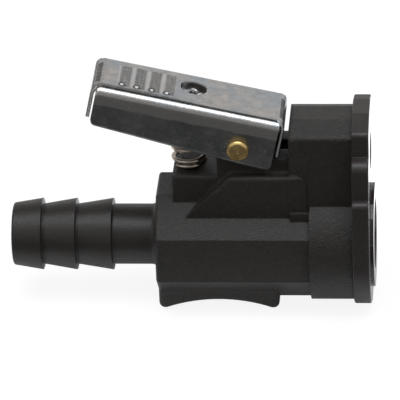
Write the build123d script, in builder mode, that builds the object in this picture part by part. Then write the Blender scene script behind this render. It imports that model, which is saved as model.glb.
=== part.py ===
"""Plastic quick disconnect coupling for a fuel hose, with a sprung release lever.

The origin is on the socket's axis, at the mating face. +X leaves the socket towards
the male fitting, +Z points up to the release lever, and -Y is the near side.
All sizes are in millimetres.
"""
import os
from math import cos, radians, sin, tan

from build123d import *

os.makedirs("parts", exist_ok=True)

# ---------------------------------------------------------------- driving sizes
# Lengths along the socket axis, measured back from the mating face.
PLATE_THICKNESS = 2.85
DRUM_END = 10.0            # back of the round drum behind the front plate
BODY_END = 35.5            # back face of the eight-sided body
BARB_TIP = 59.8
CREST_LEADS = (16.7, 10.6, 4.9)    # each barb's crest, in front of the tip

# Hose tail, for hose of 9.5 mm bore
CREST_RADIUS = 6.0
ROOT_RADIUS = 5.05
TIP_RADIUS = 5.2
CREST_FALL = 0.15          # length of each crest's steep back face
NECK_FILLET = 1.2
TIP_ROUND = 0.4
FUEL_BORE_RADIUS = 3.2

# Outside of the body
OCTAGON_APOTHEM = 9.53
DRUM_RADIUS = 10.8
END_ROUND = 0.6
SMALL_ROUND = 0.35

# Tower round the guide pin, above the drum
PIN_HOLE_HEIGHT = 15.7
PIN_HOLE_RADIUS = 2.65
PIN_HOLE_STEP = 0.65       # how much narrower it is past the tower, round the pin's tip
PIN_HOLE_END = 18.6
PIN_LEAD_IN = 0.5
TOWER_END = 13.2
TOWER_HALF_WIDTH = 6.5
TOWER_SHOULDER = 21.15
TOWER_TOP_RISE = 1.55      # from the shoulders to the flat top
TOWER_TOP_HALF_WIDTH = 2.4
TOWER_DRAFT = 0.25         # how much narrower the tower is at its shoulder
SHOULDER_ROUND = 0.8
TOWER_BACK_ROUND = 1.0

# Core under the lever: spring seat, pivot block and the saddle that the tongue drops on
CORE_HALF_WIDTH = 4.9
SPRING_SEAT_START = 32.5
SPRING_SEAT_TOP = 13.5
PIVOT_BACK = 21.5          # pivot pin axis, back from the mating face
PIVOT_ABOVE_HOLE = 3.7     # pivot pin axis above the guide-pin hole's axis
PIVOT_EAR_RADIUS = 3.6
BLOCK_FRONT = 16.2
BLOCK_FRONT_DROP = 0.1     # block's front edge below the pivot pin axis
PIN_RADIUS = 1.8
PIN_STANDS_PROUD = 1.25
PIN_CHAMFER = 0.35

# Wedge-shaped ribs beside the core
RIB_HALF_WIDTH = 6.85
RIB_TOP = 14.1
RIB_FOOT = 6.5
RIB_TIP = 30.7
RIB_SLOPE_END = 22.9
RIB_FRONT = 10.4
RIB_CORNER = 1.4
PAD_HALF_WIDTH = 7.3
PAD_TOP = 7.7

# Finger rest under the body
REST_FRONT = 15.4
REST_HALF_WIDTH = 6.0
REST_STANDS_OUT = 1.53     # its lobes below the body's lowest facet
REST_ARCH_INSET = 0.03     # crown of the arch above that facet
REST_LOBE = 1.3
REST_CORNER = 1.0
REST_EDGE_ROUND = 0.9
REST_ROOT_FILLET = 2.0

# Front plate
PLATE_RADIUS = 11.5
PLATE_SHOULDER_TOP = 11.7
PLATE_STEP_IN = 1.3        # first step in, from the round part's radius
PLATE_STEP_TOP = 18.3
PLATE_HEAD_LIP = 0.9       # head wider than the tower behind it, each side
PLATE_HEAD_RISE = 1.25     # head's shoulders above the tower's
PLATE_TOP_RISE = 1.2       # plate's top above the tower's
PLATE_TOP_HALF_WIDTH = 2.6
PLATE_LOW_CORNER = 0.95
PLATE_STEP_CORNER = 1.6
PLATE_EDGE_ROUND = 0.3
COLLAR_RADIUS = 8.7
COLLAR_HEIGHT = 0.55
SOCKET_RADIUS = 5.6
SOCKET_LEAD_IN = 0.5

# Release lever, bent from sheet; s runs along its top from the pivot, n is square to it
LEVER_TILT = 12.8
SHEET = 0.62
BEND_RADIUS = 1.5
LEVER_HALF_WIDTH = 6.15
LEVER_TOP = 5.68
THUMB_END = -25.2
TONGUE_END = 6.9
TAB_REACH = 6.7
FLANGE_THUMB = -24.2
FLANGE_LATCH = 5.5
FLANGE_DEPTH_THUMB = 6.82
FLANGE_DEPTH_LATCH = 8.85
FLANGE_CORNER = 0.9
RIB_COUNT = 4
FIRST_RIB = -20.9
RIB_PITCH = 2.57
RIB_WIDTH = 1.5
RIB_RISE = 0.28
SPRING_HOLE_S = -8.4
SPRING_HOLE_RADIUS = 2.2
SPRING_HOLE_FAR = 1.35
SPRING_TAB_WIDTH = 2.4
SPRING_TAB_REACH = 2.0

# Lever spring
SPRING_FOOT_BACK = 29.6
SPRING_WIRE = 0.75
SPRING_OUTER = 5.8
SPRING_TURNS = 4.0
SPRING_CLOSED_TURNS = 1.0
SPRING_BOSS_RADIUS = 1.7
SPRING_BOSS_HEIGHT = 1.3

# Valve and seals inside
GLAND_RADIUS = 7.9
GLAND_LENGTH = 2.5
SOCKET_SEAL_SECTION = 2.4
SEAT_FRONT_LENGTH = 3.0    # part of the seat ring that the male nipple enters
SEAT_LIP_LENGTH = 3.0
SEAT_BORE_RADIUS = 4.3
SEAT_SEAL_SECTION = 1.5
SEAT_GROOVE_WIDTH = 1.7
CHAMBER_RADIUS = 6.6
WASHER_THICKNESS = 1.2
WASHER_RADIUS = 5.5
POPPET_HEAD_RADIUS = 5.7
POPPET_HEAD = 1.45
NOSE_RADIUS = 2.4
NOSE_LENGTH = 5.2
STEM_RADIUS = 1.3
STEM_PAST_GUIDE = 0.5
VALVE_SPRING_LENGTH = 10.5
VALVE_SPRING_OUTER = 8.4
VALVE_SPRING_WIRE = 0.7
VALVE_SPRING_TURNS = 4.0
GUIDE_THICKNESS = 2.0
GUIDE_HUB_RADIUS = 2.4
GUIDE_HUB_BACK = 1.5
GUIDE_WINDOWS = 4
BACK_CHAMBER_RADIUS = 5.0
BACK_CHAMBER_LENGTH = 2.6

# Clearances
RUNNING = 0.05             # shaft in a hole, on the radius
CLOSED_COIL_GAP = 0.1      # between the turns of a closed end coil
SEATED = 0.05              # ring in its bore, on the radius

# ---------------------------------------------------------------- places worked out
barb_crests = [BARB_TIP - lead for lead in CREST_LEADS]
tower_top = TOWER_SHOULDER + TOWER_TOP_RISE
pivot_height = PIN_HOLE_HEIGHT + PIVOT_ABOVE_HOLE
rest_depth = OCTAGON_APOTHEM + REST_STANDS_OUT
rest_arch = OCTAGON_APOTHEM - REST_ARCH_INSET
plate_step_half_width = PLATE_RADIUS - PLATE_STEP_IN
plate_head_half_width = TOWER_HALF_WIDTH + PLATE_HEAD_LIP
plate_head_shoulder = TOWER_SHOULDER + PLATE_HEAD_RISE
plate_top = tower_top + PLATE_TOP_RISE
gland_end = PLATE_THICKNESS + GLAND_LENGTH
seat_step = gland_end + SEAT_FRONT_LENGTH
seat_back = seat_step + SEAT_LIP_LENGTH
washer_back = seat_back + WASHER_THICKNESS
head_back = washer_back + POPPET_HEAD
guide_front = head_back + VALVE_SPRING_LENGTH
guide_back = guide_front + GUIDE_THICKNESS
back_chamber_end = guide_back + BACK_CHAMBER_LENGTH
groove_middle = (seat_step + seat_back) / 2
groove_floor = GLAND_RADIUS - SEAT_SEAL_SECTION - 2 * SEATED

tilt_cos = cos(radians(LEVER_TILT))
tilt_sin = sin(radians(LEVER_TILT))
pivot = Vector(-PIVOT_BACK, 0, pivot_height)
lever_along = Vector(tilt_cos, 0, -tilt_sin)
lever_up = Vector(tilt_sin, 0, tilt_cos)
tab_tip = LEVER_TOP - TAB_REACH
tab_half_width = LEVER_HALF_WIDTH - BEND_RADIUS
saddle_top = pivot_height - TONGUE_END * tilt_sin + tab_tip * tilt_cos

# Planes in the lever's own directions, through the pivot
LEVER_TOP_PLANE = Plane(origin=pivot, x_dir=lever_along, z_dir=lever_up)
LEVER_SIDE_PLANE = Plane(origin=pivot, x_dir=lever_along, z_dir=(0, -1, 0))
LEVER_END_PLANE = Plane(origin=pivot, x_dir=(0, 1, 0), z_dir=lever_along)


def across(distance_back):
    """Plane square to the socket axis, this far back from the mating face."""
    return Plane.YZ.offset(-distance_back)


def spring(foot, top, outer_diameter, wire, active_turns, closed_turns):
    """Coil spring from foot to top, with a closed coil at each end.

    The wire's centre line is three helices: a closed coil, the open coils and a second
    closed coil. A ball of the wire's own diameter rounds each joint and the free end.
    """
    axis = top - foot
    radius = (outer_diameter - wire) / 2
    closed_pitch = wire + CLOSED_COIL_GAP
    closed_rise = closed_turns * closed_pitch
    open_rise = axis.length - wire - 2 * closed_rise
    stretches = (
        (closed_pitch, closed_rise, wire / 2, 0.0),
        (open_rise / active_turns, open_rise, wire / 2 + closed_rise, closed_turns),
        (closed_pitch, closed_rise, wire / 2 + closed_rise + open_rise, closed_turns + active_turns),
    )
    with BuildPart() as coil:
        for pitch, rise, start, turns_before in stretches:
            base = Plane(origin=foot, z_dir=axis).offset(start).rotated((0, 0, 360 * turns_before))
            with BuildLine(mode=Mode.PRIVATE) as centre_line:
                Helix(pitch=pitch, height=rise, radius=radius)
            wire_path = base.location * centre_line.wires()[0]
            with BuildSketch(Plane(origin=wire_path @ 0, z_dir=wire_path % 0)):
                Circle(wire / 2)
            sweep(path=wire_path, is_frenet=True)
            with Locations(wire_path @ 1):
                Sphere(wire / 2)
    return coil


# ---------------------------------------------------------------- body moulding
with BuildPart() as body:
    # eight-sided body
    with BuildSketch(across(BODY_END)):
        RegularPolygon(OCTAGON_APOTHEM, 8, major_radius=False, rotation=22.5)
    extrude(amount=BODY_END - DRUM_END)

    # finger rest under it, hollowed by a shallow arch between two lobes
    with BuildSketch(Plane.XZ) as rest_profile:
        with BuildLine():
            back_top = (-BODY_END, -OCTAGON_APOTHEM / 2)
            back_low = (-BODY_END, -rest_depth)
            arch_back = (-BODY_END + REST_LOBE, -rest_depth)
            arch_front = (-REST_FRONT - REST_LOBE, -rest_depth)
            front_low = (-REST_FRONT, -rest_depth)
            front_top = (-REST_FRONT, -OCTAGON_APOTHEM / 2)
            Polyline(arch_back, back_low, back_top, front_top, front_low, arch_front)
            ThreePointArc(arch_front, (-(BODY_END + REST_FRONT) / 2, -rest_arch), arch_back)
        make_face()
        for corner in (back_low, front_low):
            fillet(rest_profile.vertices().sort_by_distance(corner)[0], REST_CORNER)
    extrude(amount=REST_HALF_WIDTH, both=True)
    rest_edges = body.faces().filter_by(Axis.Y).group_by(Axis.Z)[0].edges()
    fillet(rest_edges.filter_by(lambda rim: rim.center().Z < -rest_arch + REST_CORNER), REST_EDGE_ROUND)
    fillet(body.faces().sort_by(Axis.X)[0].edges(), END_ROUND)

    # coves that blend the rest's sides into the slanting facets above them
    with BuildSketch(across(BODY_END - REST_CORNER)):
        with BuildLine():
            root_height = REST_HALF_WIDTH - OCTAGON_APOTHEM * 2**0.5
            cove_reach = REST_ROOT_FILLET * tan(radians(22.5))
            cove_low = (REST_HALF_WIDTH, root_height - cove_reach)
            cove_rise = cove_reach * cos(radians(45))
            cove_high = (REST_HALF_WIDTH + cove_rise, root_height + cove_rise)
            TangentArc(cove_low, cove_high, tangent=(0, 1))
            Polyline(cove_high, (0, root_height + cove_rise), (0, cove_low[1]), cove_low)
        make_face()
        mirror(about=Plane.YZ)
    extrude(amount=BODY_END - REST_FRONT - 2 * REST_CORNER)

    # round drum and the tower round the guide pin
    with BuildSketch(across(DRUM_END)):
        Circle(DRUM_RADIUS)
    extrude(amount=DRUM_END - PLATE_THICKNESS)
    with BuildSketch(across(TOWER_END)) as tower_outline:
        with BuildLine():
            shoulder = (TOWER_HALF_WIDTH - TOWER_DRAFT, TOWER_SHOULDER)
            Polyline(
                (0, 0),
                (TOWER_HALF_WIDTH, 0),
                (TOWER_HALF_WIDTH, OCTAGON_APOTHEM),
                shoulder,
                (TOWER_TOP_HALF_WIDTH, tower_top),
                (0, tower_top),
                (0, 0),
            )
        make_face()
        fillet(tower_outline.vertices().sort_by_distance(shoulder)[0], SHOULDER_ROUND)
        mirror(about=Plane.YZ)
    extrude(amount=TOWER_END - PLATE_THICKNESS)
    tower_back = body.edges().filter_by_position(Axis.X, -TOWER_END - 0.01, -TOWER_END + 0.01)
    fillet(tower_back.group_by(Axis.Z)[-1], TOWER_BACK_ROUND)

    # ribs beside the core, and the small pads at their foot
    with BuildSketch(Plane.XZ) as rib_profile:
        with BuildLine():
            Polyline(
                (-RIB_TIP, RIB_FOOT),
                (-RIB_SLOPE_END, RIB_TOP),
                (-RIB_FRONT, RIB_TOP),
                (-RIB_FRONT, RIB_FOOT),
                close=True,
            )
        make_face()
        fillet(rib_profile.vertices().group_by(Axis.Y)[-1], RIB_CORNER)
    extrude(amount=RIB_HALF_WIDTH, both=True)
    with BuildSketch(Plane.XZ):
        with BuildLine():
            Polyline(
                (-TOWER_END, 0), (-TOWER_END, PAD_TOP), (-DRUM_END, PAD_TOP), (-DRUM_END, 0), close=True
            )
        make_face()
    extrude(amount=PAD_HALF_WIDTH, both=True)

    # core: spring seat, pivot block with its rounded ear, and the saddle for the tongue
    with BuildSketch(Plane.XZ):
        with BuildLine():
            ear_back = (-PIVOT_BACK - PIVOT_EAR_RADIUS, pivot_height)
            ear_top = (-PIVOT_BACK, pivot_height + PIVOT_EAR_RADIUS)
            ear_front = (-PIVOT_BACK + PIVOT_EAR_RADIUS * 0.6, pivot_height + PIVOT_EAR_RADIUS * 0.8)
            Polyline(
                ear_back,
                (-PIVOT_BACK - PIVOT_EAR_RADIUS, SPRING_SEAT_TOP),
                (-SPRING_SEAT_START, SPRING_SEAT_TOP),
                (-SPRING_SEAT_START, RIB_FOOT),
                (-TOWER_END, RIB_FOOT),
                (-TOWER_END, saddle_top - SEATED),
                (-BLOCK_FRONT, saddle_top - SEATED),
                (-BLOCK_FRONT, pivot_height - BLOCK_FRONT_DROP),
                ear_front,
            )
            ThreePointArc(ear_front, ear_top, ear_back)
        make_face()
    extrude(amount=CORE_HALF_WIDTH, both=True)
    seat_face_plane = Plane(origin=(-SPRING_FOOT_BACK, 0, SPRING_SEAT_TOP))
    with BuildSketch(seat_face_plane):
        Circle(SPRING_BOSS_RADIUS)
    extrude(amount=SPRING_BOSS_HEIGHT)

    # hose tail with three barbs, turned about the socket axis
    with BuildSketch(Plane.XZ) as tail_profile:
        with BuildLine():
            tail = [(-BODY_END + 1, 0), (-BODY_END + 1, ROOT_RADIUS)]
            for crest in barb_crests:
                tail += [(-crest + CREST_FALL, ROOT_RADIUS), (-crest, CREST_RADIUS)]
            tail += [(-BARB_TIP, TIP_RADIUS), (-BARB_TIP, 0)]
            # each cone runs down to the root just ahead of the next crest's back face
            Polyline(*tail, close=True)
        make_face()
        fillet(tail_profile.vertices().sort_by_distance((-BARB_TIP, TIP_RADIUS))[0], TIP_ROUND)
    revolve(axis=Axis.X)
    neck_root = (
        body.edges()
        .filter_by(GeomType.CIRCLE)
        .filter_by_position(Axis.X, -BODY_END - 0.01, -BODY_END + 0.01)
    )
    fillet(neck_root, NECK_FILLET)

    # passages: fuel bore, chambers, gland, guide-pin hole and pivot bore
    for start, length, radius in (
        (BARB_TIP, BARB_TIP - back_chamber_end, FUEL_BORE_RADIUS),
        (back_chamber_end, BACK_CHAMBER_LENGTH, BACK_CHAMBER_RADIUS),
        (guide_back, guide_back - seat_back, CHAMBER_RADIUS),
        (seat_back, seat_back - PLATE_THICKNESS, GLAND_RADIUS),
    ):
        with BuildSketch(across(start)):
            Circle(radius)
        extrude(amount=length, mode=Mode.SUBTRACT)
    for start, length, radius in (
        (PIN_HOLE_END, PIN_HOLE_END - TOWER_END, PIN_HOLE_RADIUS - PIN_HOLE_STEP),
        (TOWER_END, TOWER_END - PLATE_THICKNESS, PIN_HOLE_RADIUS),
    ):
        with BuildSketch(across(start)):
            with Locations((0, PIN_HOLE_HEIGHT)):
                Circle(radius)
        extrude(amount=length, mode=Mode.SUBTRACT)
    with BuildSketch(Plane.XZ):
        with Locations((-PIVOT_BACK, pivot_height)):
            Circle(PIN_RADIUS)
    extrude(amount=CORE_HALF_WIDTH, both=True, mode=Mode.SUBTRACT)
body.part.label = "body"
export_step(body.part, "parts/body.step")

# ---------------------------------------------------------------- front plate
with BuildPart() as front_plate:
    with BuildSketch(across(PLATE_THICKNESS)) as plate_outline:
        with BuildLine():
            low_corner = (PLATE_RADIUS, PLATE_SHOULDER_TOP)
            step_corner = (plate_step_half_width, PLATE_STEP_TOP)
            head_corner = (plate_head_half_width, plate_head_shoulder)
            JernArc((0, -PLATE_RADIUS), (1, 0), PLATE_RADIUS, 90)
            Polyline(
                (PLATE_RADIUS, 0),
                low_corner,
                (plate_step_half_width, PLATE_SHOULDER_TOP),
                step_corner,
                (plate_head_half_width, PLATE_STEP_TOP),
                head_corner,
                (PLATE_TOP_HALF_WIDTH, plate_top),
                (0, plate_top),
                (0, -PLATE_RADIUS),
            )
        make_face()
        corners = plate_outline.vertices()
        fillet(corners.sort_by_distance(low_corner)[0], PLATE_LOW_CORNER)
        fillet(plate_outline.vertices().sort_by_distance(step_corner)[0], PLATE_STEP_CORNER)
        fillet(plate_outline.vertices().sort_by_distance(head_corner)[0], SHOULDER_ROUND)
        mirror(about=Plane.YZ)
    extrude(amount=PLATE_THICKNESS)
    fillet(front_plate.faces().sort_by(Axis.X)[0].outer_wire().edges(), PLATE_EDGE_ROUND)
    fillet(front_plate.faces().sort_by(Axis.X)[-1].outer_wire().edges(), PLATE_EDGE_ROUND)
    with BuildSketch(Plane.YZ):
        Circle(COLLAR_RADIUS)
    extrude(amount=COLLAR_HEIGHT)
    with BuildSketch(across(PLATE_THICKNESS)):
        Circle(SOCKET_RADIUS)
    extrude(amount=PLATE_THICKNESS + COLLAR_HEIGHT, mode=Mode.SUBTRACT)
    with BuildSketch(across(PLATE_THICKNESS)):
        with Locations((0, PIN_HOLE_HEIGHT)):
            Circle(PIN_HOLE_RADIUS)
    extrude(amount=PLATE_THICKNESS, mode=Mode.SUBTRACT)
    holes = front_plate.edges().filter_by(GeomType.CIRCLE)
    socket_mouth = holes.filter_by(lambda hole: abs(hole.radius - SOCKET_RADIUS) < SEATED)
    pin_mouth = holes.filter_by(lambda hole: abs(hole.radius - PIN_HOLE_RADIUS) < SEATED)
    chamfer(socket_mouth.sort_by(Axis.X)[-1], SOCKET_LEAD_IN)
    chamfer(pin_mouth.sort_by(Axis.X)[-1], PIN_LEAD_IN)
front_plate.part.label = "front_plate"
export_step(front_plate.part, "parts/front_plate.step")

# ---------------------------------------------------------------- release lever
with BuildPart() as release_lever:
    # the two flanges with their long bends, carried along the lever
    with BuildSketch(LEVER_END_PLANE.offset(FLANGE_THUMB)) as channel:
        with Locations((0, LEVER_TOP)):
            Rectangle(2 * LEVER_HALF_WIDTH, 2 * LEVER_TOP + TAB_REACH, align=(Align.CENTER, Align.MAX))
        fillet(channel.vertices().group_by(Axis.Y)[-1], BEND_RADIUS)
        with Locations((0, LEVER_TOP - SHEET)):
            Rectangle(
                2 * (LEVER_HALF_WIDTH - SHEET),
                2 * LEVER_TOP + TAB_REACH - SHEET,
                align=(Align.CENTER, Align.MAX),
                mode=Mode.SUBTRACT,
            )
        for side in (-1, 1):
            inner_corner = (side * (LEVER_HALF_WIDTH - SHEET), LEVER_TOP - SHEET)
            fillet(channel.vertices().sort_by_distance(inner_corner)[0], BEND_RADIUS - SHEET)
        with Locations((0, LEVER_TOP)):
            Rectangle(2 * tab_half_width, 2 * SHEET, mode=Mode.SUBTRACT)
    extrude(amount=FLANGE_LATCH - FLANGE_THUMB)
    with BuildSketch(LEVER_SIDE_PLANE) as flange_outline:
        with BuildLine():
            Polyline(
                (FLANGE_THUMB, LEVER_TOP),
                (FLANGE_LATCH, LEVER_TOP),
                (FLANGE_LATCH, LEVER_TOP - FLANGE_DEPTH_LATCH),
                (FLANGE_THUMB, LEVER_TOP - FLANGE_DEPTH_THUMB),
                close=True,
            )
        make_face()
        fillet(flange_outline.vertices().sort_by(Axis.Y)[:2], FLANGE_CORNER)
    extrude(amount=LEVER_HALF_WIDTH, both=True, mode=Mode.INTERSECT)

    # the flat top between them, carried on past the flanges and bent down at both ends
    # into the thumb tab and the latch tongue
    with BuildSketch(LEVER_SIDE_PLANE) as strip:
        lever_length = TONGUE_END - THUMB_END
        with Locations((THUMB_END, LEVER_TOP)):
            Rectangle(lever_length, TAB_REACH, align=(Align.MIN, Align.MAX))
        fillet(strip.vertices().group_by(Axis.Y)[-1], BEND_RADIUS)
        with Locations((THUMB_END + SHEET, LEVER_TOP - SHEET)):
            Rectangle(
                lever_length - 2 * SHEET, TAB_REACH - SHEET, align=(Align.MIN, Align.MAX), mode=Mode.SUBTRACT
            )
        for inner_end in (THUMB_END + SHEET, TONGUE_END - SHEET):
            inner_corner = (inner_end, LEVER_TOP - SHEET)
            fillet(strip.vertices().sort_by_distance(inner_corner)[0], BEND_RADIUS - SHEET)
    extrude(amount=tab_half_width, both=True)

    # grip ribs, pressed up from below
    rib_length = 2 * (LEVER_HALF_WIDTH - BEND_RADIUS)
    rib_places = [(FIRST_RIB + RIB_PITCH * count, 0) for count in range(RIB_COUNT)]
    with BuildSketch(LEVER_TOP_PLANE.offset(LEVER_TOP)):
        with Locations(rib_places):
            SlotOverall(rib_length, RIB_WIDTH, rotation=90)
    extrude(amount=RIB_RISE, taper=30)
    with BuildSketch(LEVER_TOP_PLANE.offset(LEVER_TOP - SHEET)):
        with Locations(rib_places):
            SlotOverall(rib_length - SHEET, RIB_WIDTH - SHEET, rotation=90)
    extrude(amount=RIB_RISE, mode=Mode.SUBTRACT)

    # hole over the spring, and the tab bent down from its far edge into the spring
    with BuildSketch(LEVER_TOP_PLANE.offset(LEVER_TOP)):
        with Locations((SPRING_HOLE_S, SPRING_HOLE_FAR)):
            Rectangle(2 * SPRING_HOLE_RADIUS, SPRING_HOLE_RADIUS, align=(Align.CENTER, Align.MAX))
        with Locations((SPRING_HOLE_S, SPRING_HOLE_FAR - SPRING_HOLE_RADIUS)):
            Circle(SPRING_HOLE_RADIUS)
    extrude(amount=-SHEET, mode=Mode.SUBTRACT)
    with BuildSketch(LEVER_END_PLANE.offset(SPRING_HOLE_S)):
        tab_bend = 1.5 * SHEET
        with BuildLine():
            tab_low = LEVER_TOP - SPRING_TAB_REACH
            JernArc((SPRING_HOLE_FAR, LEVER_TOP), (-1, 0), tab_bend, 90)
            Polyline(
                (SPRING_HOLE_FAR - tab_bend, LEVER_TOP - tab_bend),
                (SPRING_HOLE_FAR - tab_bend, tab_low),
                (SPRING_HOLE_FAR - tab_bend + SHEET, tab_low),
                (SPRING_HOLE_FAR - tab_bend + SHEET, LEVER_TOP - tab_bend),
            )
            JernArc((SPRING_HOLE_FAR - tab_bend + SHEET, LEVER_TOP - tab_bend), (0, 1), tab_bend - SHEET, -90)
            Line((SPRING_HOLE_FAR, LEVER_TOP - SHEET), (SPRING_HOLE_FAR, LEVER_TOP))
        make_face()
    extrude(amount=SPRING_TAB_WIDTH / 2, both=True)

    # holes for the pivot pin
    with BuildSketch(Plane.XZ):
        with Locations((-PIVOT_BACK, pivot_height)):
            Circle(PIN_RADIUS + RUNNING)
    extrude(amount=LEVER_HALF_WIDTH, both=True, mode=Mode.SUBTRACT)
release_lever.part.label = "release_lever"
export_step(release_lever.part, "parts/release_lever.step")

# ---------------------------------------------------------------- pivot pin
with BuildPart() as pivot_pin:
    with BuildSketch(Plane.XZ):
        with Locations((-PIVOT_BACK, pivot_height)):
            Circle(PIN_RADIUS)
    extrude(amount=LEVER_HALF_WIDTH + PIN_STANDS_PROUD, both=True)
    chamfer(pivot_pin.edges().filter_by(GeomType.CIRCLE), PIN_CHAMFER)
pivot_pin.part.label = "pivot_pin"
export_step(pivot_pin.part, "parts/pivot_pin.step")

# ---------------------------------------------------------------- lever spring
seat_point = Vector(-SPRING_FOOT_BACK, 0, SPRING_SEAT_TOP)
lever_point = pivot + lever_along * SPRING_HOLE_S + lever_up * (LEVER_TOP - SHEET)
spring_line = (lever_point - seat_point).normalized()
foot_lean = spring_line.get_angle(Vector(0, 0, 1))
top_lean = spring_line.get_angle(lever_up)
foot_gap = SPRING_OUTER / 2 * sin(radians(foot_lean)) + SEATED
top_gap = SPRING_OUTER / 2 * sin(radians(top_lean)) + SEATED
lever_spring = spring(
    seat_point + spring_line * foot_gap,
    lever_point - spring_line * top_gap,
    SPRING_OUTER,
    SPRING_WIRE,
    SPRING_TURNS,
    SPRING_CLOSED_TURNS,
)
lever_spring.part.label = "lever_spring"
export_step(lever_spring.part, "parts/lever_spring.step")

# ---------------------------------------------------------------- seals
with BuildPart() as socket_o_ring:
    with BuildSketch(Plane.XZ):
        section_radius = SOCKET_SEAL_SECTION / 2
        with Locations((-PLATE_THICKNESS - GLAND_LENGTH / 2, GLAND_RADIUS - SEATED - section_radius)):
            Circle(section_radius)
    revolve(axis=Axis.X)
socket_o_ring.part.label = "socket_o_ring"
export_step(socket_o_ring.part, "parts/socket_o_ring.step")

with BuildPart() as seat_o_ring:
    with BuildSketch(Plane.XZ):
        with Locations((-groove_middle, GLAND_RADIUS - SEATED - SEAT_SEAL_SECTION / 2)):
            Circle(SEAT_SEAL_SECTION / 2)
    revolve(axis=Axis.X)
seat_o_ring.part.label = "seat_o_ring"
export_step(seat_o_ring.part, "parts/seat_o_ring.step")

# ---------------------------------------------------------------- valve seat ring
with BuildPart() as valve_seat:
    with BuildSketch(Plane.XZ):
        with BuildLine():
            ring_radius = GLAND_RADIUS - SEATED
            entry_radius = SOCKET_RADIUS + SEATED
            groove_front = groove_middle - SEAT_GROOVE_WIDTH / 2
            groove_back = groove_middle + SEAT_GROOVE_WIDTH / 2
            Polyline(
                (-gland_end, entry_radius),
                (-gland_end, ring_radius),
                (-groove_front, ring_radius),
                (-groove_front, groove_floor),
                (-groove_back, groove_floor),
                (-groove_back, ring_radius),
                (-seat_back, ring_radius),
                (-seat_back, SEAT_BORE_RADIUS),
                (-seat_step, SEAT_BORE_RADIUS),
                (-seat_step, entry_radius),
                close=True,
            )
        make_face()
    revolve(axis=Axis.X)
valve_seat.part.label = "valve_seat"
export_step(valve_seat.part, "parts/valve_seat.step")

# ---------------------------------------------------------------- poppet and its washer
with BuildPart() as valve_poppet:
    with BuildSketch(Plane.XZ) as poppet_profile:
        with BuildLine():
            nose_tip = -seat_back + NOSE_LENGTH
            stem_end = -guide_back - STEM_PAST_GUIDE
            Polyline(
                (nose_tip, 0),
                (nose_tip, NOSE_RADIUS),
                (-washer_back, NOSE_RADIUS),
                (-washer_back, POPPET_HEAD_RADIUS),
                (-head_back, POPPET_HEAD_RADIUS),
                (-head_back, STEM_RADIUS),
                (stem_end, STEM_RADIUS),
                (stem_end, 0),
                close=True,
            )
        make_face()
        tips = [(nose_tip, NOSE_RADIUS), (stem_end, STEM_RADIUS)]
        chamfer([poppet_profile.vertices().sort_by_distance(tip)[0] for tip in tips], PIN_CHAMFER)
    revolve(axis=Axis.X)
valve_poppet.part.label = "valve_poppet"
export_step(valve_poppet.part, "parts/valve_poppet.step")

with BuildPart() as poppet_seal:
    with BuildSketch(across(washer_back)):
        Circle(WASHER_RADIUS)
        Circle(NOSE_RADIUS + SEATED, mode=Mode.SUBTRACT)
    extrude(amount=WASHER_THICKNESS)
poppet_seal.part.label = "poppet_seal"
export_step(poppet_seal.part, "parts/poppet_seal.step")

# ---------------------------------------------------------------- valve spring and guide
valve_spring = spring(
    Vector(-guide_front, 0, 0),
    Vector(-head_back, 0, 0),
    VALVE_SPRING_OUTER,
    VALVE_SPRING_WIRE,
    VALVE_SPRING_TURNS,
    SPRING_CLOSED_TURNS,
)
valve_spring.part.label = "valve_spring"
export_step(valve_spring.part, "parts/valve_spring.step")

with BuildPart() as spring_guide:
    with BuildSketch(across(guide_back)):
        Circle(CHAMBER_RADIUS - SEATED)
    extrude(amount=GUIDE_THICKNESS)
    with BuildSketch(across(guide_back + GUIDE_HUB_BACK)):
        Circle(GUIDE_HUB_RADIUS)
    extrude(amount=GUIDE_HUB_BACK)
    with BuildSketch(across(guide_back + GUIDE_HUB_BACK)):
        Circle(STEM_RADIUS + RUNNING)
        with PolarLocations((GUIDE_HUB_RADIUS + CHAMBER_RADIUS) / 2, GUIDE_WINDOWS):
            Circle((CHAMBER_RADIUS - GUIDE_HUB_RADIUS) / 2 - 2 * SMALL_ROUND)
    extrude(amount=GUIDE_HUB_BACK + GUIDE_THICKNESS, mode=Mode.SUBTRACT)
spring_guide.part.label = "spring_guide"
export_step(spring_guide.part, "parts/spring_guide.step")
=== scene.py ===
# %% [markdown]
# # A sprung quick disconnect coupling for a fuel hose
# The object is a black moulded body with a barbed hose tail, a stepped front plate, a bent stainless
# lever on a brass pivot pin, and a coil spring under the lever. A visual model could be drawn afresh,
# but then it would drift from the measured one. Here the measured model is loaded first, as a frame
# that stays where it is, and every new piece is worked out in the same metres and the same axes.
# Its box is kept now.

# %% Load the measured model
import math

import bmesh
import bpy
import numpy as np
from mathutils import Matrix, Vector


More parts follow.
